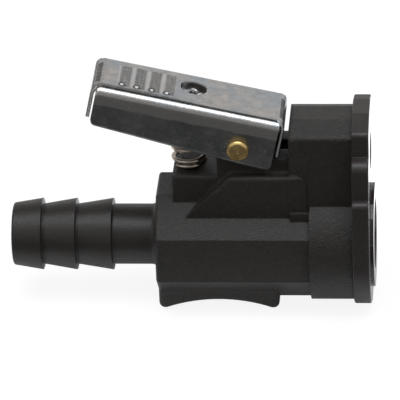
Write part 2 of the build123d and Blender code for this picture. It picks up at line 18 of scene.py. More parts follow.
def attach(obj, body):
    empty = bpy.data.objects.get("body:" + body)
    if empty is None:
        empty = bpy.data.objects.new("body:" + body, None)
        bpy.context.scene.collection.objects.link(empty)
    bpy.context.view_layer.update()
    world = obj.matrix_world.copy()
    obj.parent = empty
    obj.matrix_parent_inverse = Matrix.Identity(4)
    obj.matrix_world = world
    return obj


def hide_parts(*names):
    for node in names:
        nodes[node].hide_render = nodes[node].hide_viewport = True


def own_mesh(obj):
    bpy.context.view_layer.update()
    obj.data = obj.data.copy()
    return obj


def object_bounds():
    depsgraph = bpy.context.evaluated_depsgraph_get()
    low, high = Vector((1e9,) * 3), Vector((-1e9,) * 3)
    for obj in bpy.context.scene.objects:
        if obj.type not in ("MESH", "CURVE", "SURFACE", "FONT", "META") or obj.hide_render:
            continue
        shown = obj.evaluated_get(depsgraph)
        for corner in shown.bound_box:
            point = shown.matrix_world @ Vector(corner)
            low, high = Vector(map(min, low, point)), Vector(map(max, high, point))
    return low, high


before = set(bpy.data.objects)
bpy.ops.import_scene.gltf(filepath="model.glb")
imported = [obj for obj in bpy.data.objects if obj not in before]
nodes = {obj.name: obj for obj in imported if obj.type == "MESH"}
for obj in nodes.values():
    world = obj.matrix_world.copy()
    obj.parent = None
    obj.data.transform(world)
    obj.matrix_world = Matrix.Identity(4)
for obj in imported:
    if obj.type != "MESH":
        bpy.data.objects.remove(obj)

cad_box = [list(corner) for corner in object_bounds()]
scene = bpy.context.scene
MM = 0.001
print("CAD nodes:", sorted(nodes))
print("CAD box in mm:", [[round(v / MM, 2) for v in corner] for corner in cad_box])

# %% [markdown]
# ## Where the camera stands
# The coupling is seen from its near side, a little from the right and from well above, through a long
# lens that hardly narrows with distance. The camera could be pushed about until it looks right. It is
# simpler to give the view as angles: azimuth and elevation set the direction, a small roll tips the
# picture, and the three axes of the camera follow from them by cross products.

# %% Camera
AZIMUTH, ELEVATION, ROLL = 4.863, 28.352, 2.25
CAMERA_DISTANCE = 752.7 * MM
TARGET = Vector((-28.7 * MM, 0, 0))
TARGET_BELOW_CENTRE = 5.61 * MM
SENSOR_WIDTH, FOCAL_LENGTH = 36, 406.4


def camera_axes(azimuth, elevation, roll):
    """Right, up and back: back from the two angles, the others by cross products, then the roll."""
    a, e, t = (math.radians(v) for v in (azimuth, elevation, roll))
    back = Vector((math.sin(a) * math.cos(e), -math.cos(a) * math.cos(e), math.sin(e)))
    level = Vector((math.cos(a), math.sin(a), 0))
    rise = back.cross(level)
    return level * math.cos(t) - rise * math.sin(t), level * math.sin(t) + rise * math.cos(t), back


right, up, back = camera_axes(AZIMUTH, ELEVATION, ROLL)
camera = bpy.data.objects.new("camera", bpy.data.cameras.new("camera"))
scene.collection.objects.link(camera)
camera.data.sensor_width, camera.data.lens = SENSOR_WIDTH, FOCAL_LENGTH
camera.data.clip_start, camera.data.clip_end = 0.05, 20
stand = TARGET + back * CAMERA_DISTANCE + up * TARGET_BELOW_CENTRE
turn = Matrix((right, up, back)).transposed().to_4x4()
camera.matrix_world = Matrix.Translation(stand) @ turn
scene.camera = camera
print("camera at", [round(v, 4) for v in camera.location], "metres")

# %% [markdown]
# ## Shader maths that reads like maths
# A procedural finish is a sum of patterns and masks, and as a wall of nodes it is hard to read. One
# small class wraps an output socket, so that `1 - mask * 0.5` adds the Math nodes by itself. A second
# class holds one material: `add` makes any other node from its type, its settings and its inputs.

# %% Sockets with arithmetic
class Signal:
    """An output socket that can be added, multiplied and so on with others and with numbers."""

    def __init__(self, finish, socket):
        self.finish = finish
        self.socket = socket

    def maths(self, operation, *values):
        return self.finish.add("ShaderNodeMath", {"operation": operation}, dict(enumerate(values)))

    def __add__(self, other):
        return self.maths("ADD", self, other)

    def __sub__(self, other):
        return self.maths("SUBTRACT", self, other)

    def __rsub__(self, other):
        return self.maths("SUBTRACT", other, self)

    def __mul__(self, other):
        return self.maths("MULTIPLY", self, other)

    def __truediv__(self, other):
        return self.maths("DIVIDE", self, other)

    def __pow__(self, other):
        return self.maths("POWER", self, other)

    def __abs__(self):
        return self.maths("ABSOLUTE", self)

    __radd__ = __add__
    __rmul__ = __mul__

    def fraction(self):
        """What is left past the whole number, so that one long slope becomes a repeating one."""
        return self.maths("FRACT", self)

    def sine(self):
        return self.maths("SINE", self)

    def step(self, low, high):
        """Rises smoothly from 0 at low to 1 at high; low may be the larger, and then it falls."""
        inputs = {"Value": self, "From Min": low, "From Max": high}
        return self.finish.add("ShaderNodeMapRange", {"interpolation_type": "SMOOTHSTEP"}, inputs)


class Finish:
    """One material: a Principled shader with its constants, and the nodes that vary it."""

    def __init__(self, name, **constants):
        self.material = bpy.data.materials.new(name)
        self.material.use_nodes = True
        self.tree = self.material.node_tree
        self.tree.nodes.clear()
        self.shader = self.tree.nodes.new("ShaderNodeBsdfPrincipled")
        output = self.tree.nodes.new("ShaderNodeOutputMaterial")
        self.tree.links.new(self.shader.outputs[0], output.inputs["Surface"])
        for socket, value in constants.items():
            self.shader.inputs[socket.replace("_", " ")].default_value = value
        self.place = self.add("ShaderNodeTexCoord", output="Object")
        self.x, self.y, self.z = (
            self.add("ShaderNodeSeparateXYZ", inputs={"Vector": self.place}, output=axis) for axis in "XYZ"
        )

    def add(self, kind, settings=None, inputs=None, output=0):
        node = self.tree.nodes.new(kind)
        for key, value in (settings or {}).items():
            setattr(node, key, value)
        for key, value in (inputs or {}).items():
            self.feed(node.inputs[key], value)
        return Signal(self, node.outputs[output])

    def feed(self, socket, value):
        if isinstance(value, Signal):
            self.tree.links.new(value.socket, socket)
        else:
            socket.default_value = value

    def noise(self, size, detail=2.0, roughness=0.5, place=None, distortion=0.0):
        """Cloudy pattern from 0 to 1 whose blotches are about size metres across."""
        inputs = {"Vector": place or self.place, "Scale": 1 / size, "Detail": detail}
        inputs.update({"Roughness": roughness, "Distortion": distortion})
        return self.add("ShaderNodeTexNoise", inputs=inputs)

    def mapping(self, vector, **settings):
        """A vector moved, turned and scaled: Location, Rotation and Scale are given by name."""
        return self.add("ShaderNodeMapping", inputs={"Vector": vector, **settings})

    def length(self, vector):
        return self.add("ShaderNodeVectorMath", {"operation": "LENGTH"}, {0: vector}, "Value")

    def mix(self, mask, colour_0, colour_1):
        inputs = {0: mask, 6: self.colour(colour_0), 7: self.colour(colour_1)}
        return self.add("ShaderNodeMix", {"data_type": "RGBA"}, inputs, output=2)

    def blend(self, mask, normal_0, normal_1):
        """One set of normals where the mask is 0 and another where it is 1."""
        inputs = {0: mask, 4: normal_0, 5: normal_1}
        return self.add("ShaderNodeMix", {"data_type": "VECTOR"}, inputs, output=1)

    def colour(self, value):
        return value if isinstance(value, Signal) else (*value, 1.0)

    def rounded(self, radius):
        """Normals that run round every edge as if it had this radius."""
        return self.add("ShaderNodeBevel", {"samples": 6}, {"Radius": radius})

    def edges(self, normal):
        """1 along the edges, where the rounded normal leaves the face's own, and 0 on the flats."""
        own = self.add("ShaderNodeNewGeometry", output="Normal")
        cosine = self.add("ShaderNodeVectorMath", {"operation": "DOT_PRODUCT"}, {0: normal, 1: own}, "Value")
        return cosine.step(0.999, 0.9)

    def bump(self, height, depth, normal=None, strength=1.0):
        """Normals of a surface raised by height times depth metres."""
        inputs = {"Height": height, "Distance": depth, "Strength": strength}
        if normal:
            inputs["Normal"] = normal
        return self.add("ShaderNodeBump", inputs=inputs)

    def out(self, **values):
        for socket, value in values.items():
            self.feed(self.shader.inputs[socket.replace("_", " ")], value)
        print("finish", self.material.name, "with", len(self.tree.nodes), "nodes")
        return self.material


def grey(level):
    return (level, level, level)


def times(colour, factor):
    """A colour made lighter or darker by one factor."""
    return tuple(part * factor for part in colour)


# %% [markdown]
# ## The plain studio
# Black plastic and bare steel show mostly what they mirror, so the tones of the room matter more than
# the lamp's power. The table is white to the eye, but the object mirrors another one: it glows behind
# the object, is dark in front of it, and falls off to grey far from it. The world is a pale wall
# behind, a dimmer room in front with a glow high up, a dark ceiling and a soft box on each side. One
# wide lamp hangs above and a little in front. The room is made up, for the tones that it gives.

# %% Floor, lamp and world
FLOOR_LEVEL, FLOOR_HALF = cad_box[0][2], 4.0
floor_mesh = bpy.data.meshes.new("floor")
corners = [(x * FLOOR_HALF, y * FLOOR_HALF, FLOOR_LEVEL) for x, y in ((-1, -1), (1, -1), (1, 1), (-1, 1))]
floor_mesh.from_pydata(corners, [], [(0, 1, 2, 3)])
floor = bpy.data.objects.new("floor", floor_mesh)
scene.collection.objects.link(floor)

paper = Finish("white_table", Roughness=0.9, Emission_Strength=1.0)
away = paper.length(paper.mapping(paper.place, Scale=(1.0, 1.35, 1.0)))
paper_seen = paper.add("ShaderNodeLightPath", output="Is Camera Ray")
in_front = paper.y.step(-0.011, -0.027)
at_back = paper.y.step(0.008, 0.026) * away.step(0.30, 0.15)
# Painted light: for the object the table is a painted pool of light that falls off to grey, a painted glow
# near and behind it, and a painted dark stretch in front.
painted_light_pool = paper.mix(away.step(0.05, 0.16), grey(0.74), grey(0.16))
near_glow = paper.mix(away.step(0.035, 0.11), grey(0.18), grey(0.0))
back_glow = paper.mix(at_back, near_glow, grey(1.0))
paper.out(Base_Color=paper.mix(in_front, painted_light_pool, (0.090, 0.088, 0.085)),
          Emission_Color=paper.mix(in_front, back_glow, grey(0.0)))
glow = paper.add("ShaderNodeEmission", inputs={"Color": (1, 1, 1, 1), "Strength": 0.88})
lit = paper.add("ShaderNodeBsdfDiffuse", inputs={"Color": (*grey(0.20), 1)})
seen = paper.add("ShaderNodeAddShader", inputs={0: glow, 1: lit})
table_shader = Signal(paper, paper.shader.outputs[0])
either = paper.add("ShaderNodeMixShader", inputs={0: paper_seen, 1: table_shader, 2: seen})
paper.feed(paper.tree.nodes["Material Output"].inputs["Surface"], either)
floor_mesh.materials.append(paper.material)


def soft_lamp(name, place, aim, width, height, power):
    """A rectangular lamp at place that faces aim: its -Z axis is turned along the line between them."""
    lamp = bpy.data.objects.new(name, bpy.data.lights.new(name, "AREA"))
    lamp.data.shape = "RECTANGLE"
    lamp.data.size, lamp.data.size_y, lamp.data.energy = width, height, power
    lamp.data.color = (0.93, 0.97, 1.0)
    facing = (Vector(aim) - Vector(place)).to_track_quat("-Z", "Y").to_matrix().to_4x4()
    lamp.matrix_world = Matrix.Translation(place) @ facing
    scene.collection.objects.link(lamp)
    print("lamp", name, power, "W")


soft_lamp("overhead_lamp", (-0.03, -0.10, 0.52), (-0.03, 0, 0), 0.60, 0.34, 2.0)

world = bpy.data.worlds.new("studio")
scene.world = world
world.use_nodes = True
room = world.node_tree
room.nodes.clear()
room_out = room.nodes.new("ShaderNodeOutputWorld")
room_sky = room.nodes.new("ShaderNodeBackground")
room_path = room.nodes.new("ShaderNodeLightPath")
room_direction = room.nodes.new("ShaderNodeTexCoord")
room_split = room.nodes.new("ShaderNodeSeparateXYZ")
room.links.new(room_direction.outputs["Generated"], room_split.inputs[0])
room.links.new(room_sky.outputs[0], room_out.inputs[0])


def room_node(kind, settings, inputs, output=0):
    """A node of the world's tree; a socket among its inputs is linked and a number is set."""
    node = room.nodes.new(kind)
    for key, value in settings.items():
        setattr(node, key, value)
    for key, value in inputs.items():
        if isinstance(value, bpy.types.NodeSocket):
            room.links.new(value, node.inputs[key])
        else:
            node.inputs[key].default_value = value
    return node.outputs[output]


def room_ramp(socket, low, high, start=0.0, end=1.0):
    """Goes smoothly from start where the socket is low to end where it is high."""
    inputs = {"Value": socket, "From Min": low, "From Max": high, "To Min": start, "To Max": end}
    return room_node("ShaderNodeMapRange", {"interpolation_type": "SMOOTHSTEP"}, inputs)


def room_maths(operation, *values):
    return room_node("ShaderNodeMath", {"operation": operation}, dict(enumerate(values)))


to_right, to_back, to_top = (room_split.outputs[axis] for axis in "XYZ")
wall = room_ramp(to_back, -0.1, 0.5, 0.36, 0.90)
below_ceiling = room_ramp(to_top, 0.50, 0.72, 1.0, 0.12)
boxes = room_ramp(room_maths("ABSOLUTE", to_right), 0.25, 0.45)
for limit in (room_ramp(to_back, 0.05, -0.20), room_ramp(to_top, 0.05, 0.25), room_ramp(to_top, 0.72, 0.55)):
    boxes = room_maths("MULTIPLY", boxes, limit)
front_glow = room_maths("MULTIPLY", room_ramp(to_back, 0.0, -0.3), room_ramp(to_top, 0.45, 0.85, 0.0, 0.75))
room_tone = room_maths("MULTIPLY_ADD", boxes, 0.50, room_maths("MULTIPLY", wall, below_ceiling))
room_tone = room_maths("ADD", front_glow, room_tone)
room_level = room_node("ShaderNodeMix", {"data_type": "FLOAT"},
                       {0: room_path.outputs["Is Camera Ray"], 2: room_tone, 3: 1.0})
room.links.new(room_level, room_sky.inputs["Strength"])
scene.view_settings.view_transform = "Standard"
print("floor at", round(FLOOR_LEVEL / MM, 2), "mm")

# %% [markdown]
# ## Black moulded plastic
# The body is glass-filled nylon from a spark-eroded mould, so its faces have a fine even grain, while
# the hose tail was polished in the mould to slip into the hose. The grain could be an image, but noise
# at two sizes gives the same grain from every side and never repeats. The face that meets the other
# half of the coupling was polished, so it has no grain. The edges are a little worn and mirror the
# lamp, which the Bevel node does without touching the measured mesh. The back of the tower has a wider
# rounding, in its normals alone: it looks soft to the light, but its outline stays sharp.

# %% Body finish
TAIL_START = -35.3 * MM
TOWER_BACK, TOWER_FOOT, TOWER_ROUND = -11.9 * MM, 11.0 * MM, 1.1 * MM


def moulded(name, base, roughness, grain_size, grain_depth, edge_radius, tail=False):
    """Black plastic: base colour clouds, spark grain as bump, paler edges and a few specks of dust.

    With tail, the hose tail is smoother than the rest and the tower's back is rounded.
    """
    black = Finish(name, Specular_IOR_Level=0.5)
    edge_normal = black.rounded(edge_radius)
    edge = black.edges(edge_normal)
    mating = black.x.step(-0.16 * MM, -0.06 * MM)
    if tail:
        tower_back = black.x.step(TOWER_BACK + 0.3 * MM, TOWER_BACK - 0.3 * MM)
        tower_back = tower_back * black.z.step(TOWER_FOOT - 0.5 * MM, TOWER_FOOT + 0.5 * MM)
        edge_normal = black.blend(tower_back, edge_normal, black.rounded(TOWER_ROUND))
    grain = black.noise(grain_size, 3.0, 0.65)
    fine = black.noise(0.13 * MM, 2.0, 0.6)
    clouds = black.noise(5 * MM, 4.0, 0.6)
    rubbed = black.noise(1.6 * MM, 5.0, 0.7, distortion=0.6)
    textured = 1 - mating
    if tail:
        textured = textured - black.x.step(TAIL_START + 0.3 * MM, TAIL_START - 0.3 * MM) * 0.75
    dust = black.add("ShaderNodeTexVoronoi", {"feature": "F1"},
                     {"Vector": black.place, "Scale": 1 / (2.6 * MM), "Randomness": 1.0}, "Distance")
    speck = dust.step(0.030, 0.015) * black.noise(3 * MM).step(0.52, 0.58)
    tone = black.mix(clouds.step(0.3, 0.75) * 0.5, base, times(base, 1.35))
    tone = black.mix((grain.step(0.52, 0.64) * textured) * 0.28, tone, grey(base[1] * 3.4))
    tone = black.mix(edge * rubbed.step(0.35, 0.7) * 0.55, tone, times(base, 2.6))
    tone = black.mix(speck * 0.8, tone, (0.30, 0.29, 0.27))
    height = grain * 0.7 + fine * 0.3
    normal = black.bump(height * textured, grain_depth, edge_normal)
    smoothness = rubbed.step(0.3, 0.8) * 0.08
    rough = (clouds * 0.06 + roughness) - smoothness - edge * 0.06 - mating * 0.36
    if tail:
        rough = rough - (1 - textured) * 0.06
    return black.out(Base_Color=tone, Roughness=rough, Normal=normal)


body_black = moulded(
    "moulded_black", (0.0165, 0.0134, 0.0113), roughness=0.45,
    grain_size=0.44 * MM, grain_depth=0.24 * MM, edge_radius=0.22 * MM, tail=True,
)
plate_black = moulded(
    "plate_black", (0.0284, 0.0223, 0.0206), roughness=0.44,
    grain_size=0.30 * MM, grain_depth=0.014 * MM, edge_radius=0.16 * MM,
)


def dress(node, material):
    """Gives a measured part its finish by filling its material slots."""
    part = nodes[node]
    if not part.material_slots:
        part.data.materials.append(material)
    for slot in part.material_slots:
        slot.material = material
    print("dressed", node)


dress("body", body_black)
dress("front_plate", plate_black)

# %% [markdown]
# ## Rubber seals and the valve's plastic
# The O-rings and the poppet's washer are nitrile rubber with a dull bloom and a moulding line's faint
# ripple. The valve seat, poppet and guide are natural acetal, an off-white plastic with soft turning
# marks. They lie deep in the socket, so plain noise at the right scale is enough for both.

# %% Seals and valve finishes
seal = Finish("seal_rubber", Specular_IOR_Level=0.45)
bloom = seal.noise(0.8 * MM, 4.0, 0.65)
seal_tone = seal.mix(bloom.step(0.45, 0.8), (0.018, 0.018, 0.019), (0.045, 0.044, 0.042))
seal_rubber = seal.out(Base_Color=seal_tone, Roughness=bloom * 0.2 + 0.5,
                       Normal=seal.bump(seal.noise(0.15 * MM, 3.0), 0.006 * MM))

acetal = Finish("valve_plastic", Specular_IOR_Level=0.5, Subsurface_Weight=0.15, Subsurface_Scale=0.0006)
turning = acetal.add("ShaderNodeTexWave", {"wave_type": "BANDS", "bands_direction": "X"},
                     {"Vector": acetal.place, "Scale": 1 / (1.6 * MM), "Distortion": 0.6, "Detail": 2.0})
acetal_cloud = acetal.noise(1.5 * MM, 4.0)
acetal_tone = acetal.mix(acetal_cloud.step(0.3, 0.8), (0.70, 0.69, 0.63), (0.76, 0.75, 0.71))
valve_plastic = acetal.out(Base_Color=acetal_tone, Roughness=acetal_cloud * 0.12 + 0.32,
                           Normal=acetal.bump(turning, 0.004 * MM, acetal.rounded(0.12 * MM)))
for name in ("socket_o_ring", "seat_o_ring", "poppet_seal"):
    dress(name, seal_rubber)
for name in ("valve_seat", "valve_poppet", "spring_guide"):
    dress(name, valve_plastic)

# %% [markdown]
# ## Surfaces from arrays
# Each new piece is a surface over a grid of two numbers, worked out as whole arrays. A loop over
# vertices would say the same more slowly. The helpers join neighbouring grid points into quads, and a
# signed volume tells whether a closed surface has come out inside out.

# %% From a grid to a piece
def grid_faces(rows, columns, around=False):
    """Quads between neighbours: (i, j), (i, j+1), (i+1, j+1), (i+1, j), with j wrapped if it goes around."""
    i = np.arange(rows - 1)[:, None] * columns
    j = np.arange(columns if around else columns - 1)[None, :]
    after = (j + 1) % columns
    return np.stack([i + j, i + after, i + columns + after, i + columns + j], axis=-1).reshape(-1, 4)


def enclosed(points, quads):
    """Signed volume: a sixth of the sum of a . (b x c) over the two triangles of every quad."""
    a, b, c, d = (points[quads[:, k]] for k in range(4))
    return float(np.sum(a * np.cross(b, c)) + np.sum(a * np.cross(c, d))) / 6


def add_piece(name, points, faces, material, body, hides, sharp=40):
    """Puts points and faces into a smooth-shaded mesh that rides on a body and stands for its CAD node."""
    mesh = bpy.data.meshes.new(name)
    mesh.from_pydata(points, [], faces)
    mesh.validate()
    mesh.shade_smooth()
    mesh.set_sharp_from_angle(angle=math.radians(sharp))
    mesh.materials.append(material)
    piece = bpy.data.objects.new(name, mesh)
    scene.collection.objects.link(piece)
    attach(piece, body)
    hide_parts(hides)
    print(name, len(mesh.vertices), "vertices,", len(mesh.polygons), "faces")
    return piece


def closed_tube(rings, capped=True):
    """Faces of a tube given as rings of points, its two ends closed by a small flat disc."""
    rows, columns = rings.shape[:2]
    points = rings.reshape(-1, 3)
    quads = grid_faces(rows, columns, around=True)
    flip = enclosed(points, quads) < 0
    faces = (quads[:, ::-1] if flip else quads).tolist()
    start, end = list(range(columns)), list(range((rows - 1) * columns, rows * columns))
    faces += [start, end[::-1]] if flip else [start[::-1], end]
    return points, faces


# %% [markdown]
# ## Spring wire
# Both springs are cold-drawn stainless wire, dull from the coiling, with fine lines along the wire and
# darker lubricant left between the coils. The lines follow the wire, so the tube carries its own UV
# map: U runs along the wire and V round it. Noise stretched along U then gives drawing lines.

# %% Wire finish
wire = Finish("spring_steel", Metallic=1.0)
wire_uv = wire.add("ShaderNodeUVMap", {"uv_map": "wire"}, output="UV")
drawn = wire.noise(1.0, 4.0, 0.6, place=wire.mapping(wire_uv, Scale=(1.2, 26.0, 1.0)))
stain = wire.noise(1.3 * MM, 4.0, 0.6)
wire_tone = wire.mix(stain.step(0.35, 0.75), (0.58, 0.51, 0.44), (0.36, 0.30, 0.25))
wire_tone = wire.mix(drawn.step(0.45, 0.8) * 0.4, wire_tone, (0.74, 0.69, 0.63))
spring_steel = wire.out(Base_Color=wire_tone, Roughness=stain * 0.10 + 0.14,
                        Normal=wire.bump(drawn, 0.006 * MM))

# %% [markdown]
# ## Coil springs
# A helix about a straight line would lean off its seat, because the lever's underside is not parallel
# to the spring seat. A real spring bows slightly, so that both end coils lie flat. Here the middle line
# is a cubic that leaves the seat square to it and meets the lever square to that, the turns close up at
# both ends, and the wire is a round tube carried along the helix.

# %% Springs
PIVOT = np.array([-21.5, 0.0, 19.4]) * MM
TILT = math.radians(12.8)
ALONG = np.array([math.cos(TILT), 0.0, -math.sin(TILT)])
UPWARD = np.array([math.sin(TILT), 0.0, math.cos(TILT)])
SHEET, TOP = 0.62, 5.68     # lever's thickness, and its top above the pivot, in millimetres
TUBE_SIDES, STEPS_PER_TURN = 16, 56
CLOSED_PITCH = 1.06         # rise of a closed turn, in wire diameters
SOFTENING = 8               # steps on each side over which a change of pitch is spread


def coil(foot, foot_way, top, top_way, radius, wire_diameter, active, closed, start_angle=0.0):
    """Wire round a bowed middle line.

    The middle line is the cubic with ends foot and top and end slopes foot_way and top_way. Height
    along it rises slowly over the closed turns and evenly over the active ones. A wire point is the
    middle line plus radius times (cos a, sin a) in the plane across it, and the tube is a circle in
    the plane across the wire, its radius running down to nothing like a dome at each end.
    """
    turns = active + 2 * closed
    steps = int(turns * STEPS_PER_TURN)
    t = np.linspace(0, turns, steps + 1)
    length = float(np.linalg.norm(top - foot))
    closed_rise = closed * (wire_diameter * CLOSED_PITCH) / length
    height = np.interp(t, [0, closed, closed + active, turns], [0, closed_rise, 1 - closed_rise, 1])
    kernel = np.hanning(2 * SOFTENING + 1)
    kernel /= kernel.sum()
    before = 2 * height[0] - height[1 : SOFTENING + 1][::-1]
    after = 2 * height[-1] - height[-SOFTENING - 1 : -1][::-1]
    height = np.convolve(np.concatenate([before, height, after]), kernel, "valid")[:, None]
    middle = (
        (2 * height**3 - 3 * height**2 + 1) * foot
        + (height**3 - 2 * height**2 + height) * length * foot_way
        + (3 * height**2 - 2 * height**3) * top
        + (height**3 - height**2) * length * top_way
    )
    axis = (1 - height) * foot_way + height * top_way
    axis /= np.linalg.norm(axis, axis=1, keepdims=True)
    side = np.broadcast_to((0.0, 1.0, 0.0), axis.shape) - axis * axis[:, 1:2]
    side /= np.linalg.norm(side, axis=1, keepdims=True)
    across = np.cross(side, axis)
    angle = (2 * np.pi * t + start_angle)[:, None]
    out = across * np.cos(angle) + side * np.sin(angle)
    path = middle + out * radius
    forward = np.gradient(path, axis=0)
    forward /= np.linalg.norm(forward, axis=1, keepdims=True)
    out -= forward * np.sum(out * forward, axis=1, keepdims=True)
    out /= np.linalg.norm(out, axis=1, keepdims=True)
    other = np.cross(forward, out)
    run = np.concatenate([[0], np.cumsum(np.linalg.norm(np.diff(path, axis=0), axis=1))])
    to_end = np.minimum(run, run[-1] - run)
    half = wire_diameter / 2
    girth = half * np.sqrt(np.clip(1 - (1 - np.clip(to_end / half, 0.02, 1)) ** 2, 0, 1))
    v = np.linspace(0, 2 * np.pi, TUBE_SIDES, endpoint=False)
    rings = path[:, None] + girth[:, None, None] * (
        out[:, None] * np.cos(v)[None, :, None] + other[:, None] * np.sin(v)[None, :, None]
    )
    return rings, run


def wire_map_of(piece, run):
    """UV map of the tube: U is the run along the wire in millimetres, V goes round it and back."""
    mesh = piece.data
    layer = mesh.uv_layers.new(name="wire")
    corner = np.empty(len(mesh.loops), dtype=np.int64)
    mesh.loops.foreach_get("vertex_index", corner)
    u = run[corner // TUBE_SIDES] / MM
    v = np.abs((corner % TUBE_SIDES) / TUBE_SIDES - 0.5) * 2
    layer.data.foreach_set("uv", np.stack([u, v], axis=1).astype(np.float32).ravel())


PRESS_WIRE, PRESS_RADIUS, PRESS_START = 0.80, 2.60, 3.8
PRESS_OPEN_TURNS, PRESS_CLOSED_TURNS = 4.6, 1.2
SEAT_X, SEAT_TOP = -29.95, 13.5
COIL_S, COIL_BELOW_SHEET = -8.75, 0.20
spring_foot = np.array([SEAT_X, 0.0, SEAT_TOP + PRESS_WIRE / 2]) * MM
coil_top = TOP - SHEET - COIL_BELOW_SHEET - PRESS_WIRE / 2
spring_top = PIVOT + (COIL_S * ALONG + coil_top * UPWARD) * MM
upright = np.array([0.0, 0.0, 1.0])
rings, run = coil(spring_foot, upright, spring_top, UPWARD, PRESS_RADIUS * MM, PRESS_WIRE * MM,
                  PRESS_OPEN_TURNS, PRESS_CLOSED_TURNS, PRESS_START)
points, faces = closed_tube(rings)
press_spring = add_piece(
    "lever_coil", points, faces, spring_steel, "housing", "lever_spring"
)
wire_map_of(press_spring, run)
lean = spring_top - spring_foot
lean_way = tuple(lean / np.linalg.norm(lean))
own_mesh(press_spring)

VALVE_WIRE, VALVE_RADIUS = 0.70, 3.85
VALVE_OPEN_TURNS, VALVE_CLOSED_TURNS = 4.0, 1.0
VALVE_FRONT, VALVE_BACK = -14.0, -24.5
VALVE_INSET = 0.37          # middle of each end turn, in from its seat
backward = np.array([-1.0, 0.0, 0.0])
valve_front = np.array([VALVE_FRONT - VALVE_INSET, 0.0, 0.0]) * MM
valve_back = np.array([VALVE_BACK + VALVE_INSET, 0.0, 0.0]) * MM
rings, run = coil(valve_front, backward, valve_back, backward, VALVE_RADIUS * MM, VALVE_WIRE * MM,
                  VALVE_OPEN_TURNS, VALVE_CLOSED_TURNS)
points, faces = closed_tube(rings)
return_spring = add_piece(
    "valve_coil", points, faces, spring_steel, "housing", "valve_spring"
)
wire_map_of(return_spring, run)
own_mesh(return_spring)

# %% [markdown]
# ## Stainless sheet
# The lever is bright rolled sheet, so it has fine lines along its length, faint warm and blue tints,
# and handling scratches. Under each fold a paler band is a painted reflection, and below it the
# flanges are painted darker than the top as painted shade, blotchy, duller and scratched. On the grip
# ribs the press has dragged streaks across; each rib's face is painted dark as painted shade and the
# strip between ribs is a painted highlight. The thumb end is painted dark as painted shade, and the
# dip round the spring hole and the dark band beside the near fold are painted reflections. All of it
# is placed in the lever's own directions s, y and n, because the lever is tilted.

# %% Sheet finish
RIB_COUNT, FIRST_RIB, RIB_PITCH = 4, -20.5, 2.49
# Middle of the painted shade on the first rib's face.
RIB_SHADE_MIDDLE = -20.15           # middle of the first rib's streaks, a little past its crest

steel = Finish("stainless_sheet", Metallic=1.0)
from_pivot = steel.mapping(steel.place, Location=tuple(-v for v in PIVOT))
levelled = steel.mapping(from_pivot, Rotation=(0, -TILT, 0))
lever_s, lever_y, lever_n = (
    steel.add("ShaderNodeSeparateXYZ", inputs={"Vector": levelled}, output=axis) for axis in "XYZ"
)


def steel_streaks(scale, size, detail=3.0, turn=(0, 0, 0)):
    """Noise in the lever's own directions, turned and then stretched by scale."""
    drawn_out = steel.mapping(steel.mapping(levelled, Rotation=turn), Scale=scale)
    return steel.noise(size, detail, 0.6, place=drawn_out)


edge_normal = steel.rounded(0.13 * MM)
edge = steel.edges(edge_normal)
on_side = abs(lever_y).step(5.9 * MM, 6.1 * MM)
wobble = steel.noise(3.5 * MM, 3.0)
# Depth below the top, with a wavy edge, that bounds the painted reflection band under each fold.
below_fold = (lever_n * -1 + TOP * MM) - wobble * 0.9 * MM
below_painted_band = below_fold.step(2.35 * MM, 2.75 * MM)
rolled = steel_streaks((0.06, 1.0, 1.0), 0.16 * MM)
dragged = steel_streaks((1.0, 0.05, 1.0), 0.22 * MM)
on_ribs = lever_s.step(-21.5 * MM, -21.2 * MM) * lever_s.step(-11.7 * MM, -12.0 * MM)
on_ribs = on_ribs * abs(lever_y).step(3.7 * MM, 3.4 * MM)
rib_phase = ((lever_s - RIB_SHADE_MIDDLE * MM) / (RIB_PITCH * MM) + 0.5).fraction()
off_middle = abs(rib_phase - 0.5)
# Painted shade and highlight: each rib's face is painted dark, streaked by the press, and the strip between
# ribs is painted light.
rib_face_shade = off_middle.step(0.37, 0.31) * on_ribs
between = (1 - off_middle.step(0.44, 0.38)) * on_ribs
blotch = steel.noise(4.0 * MM, 4.0, 0.6)
tint = steel.noise(5.0 * MM, 2.0)
smudge = steel.noise(1.5 * MM, 6.0, 0.7)
scratch_sets = [
    abs(steel_streaks((0.10, 1.0, 1.0), 0.9 * MM, 2.0, (0, by, by * 0.7)) - 0.5).step(0.010, 0.003)
    for by in (0.5, -0.9, 1.9)
]
scratches = (scratch_sets[0] + scratch_sets[1] + scratch_sets[2]) * steel.noise(2.2 * MM, 3.0).step(0.42, 0.6)
top_tone = steel.mix(tint.step(0.35, 0.65), (0.585, 0.545, 0.505), (0.44, 0.475, 0.51))
top_tone = steel.mix(smudge.step(0.40, 0.66) * 0.6, top_tone, (0.33, 0.33, 0.335))
top_tone = steel.mix(rolled.step(0.35, 0.75) * 0.45, top_tone, (0.38, 0.38, 0.375))
# Painted shade: the top is painted darker towards the thumb end.
thumb_end_shade = lever_s.step(-23.0 * MM, -25.0 * MM) * lever_n.step(4.0 * MM, 5.3 * MM)
top_tone = steel.mix(thumb_end_shade * 0.55, top_tone, (0.24, 0.225, 0.21))
from_ribs = lever_y * -1 - lever_s.step(-17.0 * MM, -5.0 * MM) * 0.75 * MM
shoulder = from_ribs.step(3.55 * MM, 4.35 * MM) * lever_y.step(-5.35 * MM, -5.1 * MM)
top_tone = steel.mix(shoulder * 0.85, top_tone, (0.10, 0.098, 0.095))
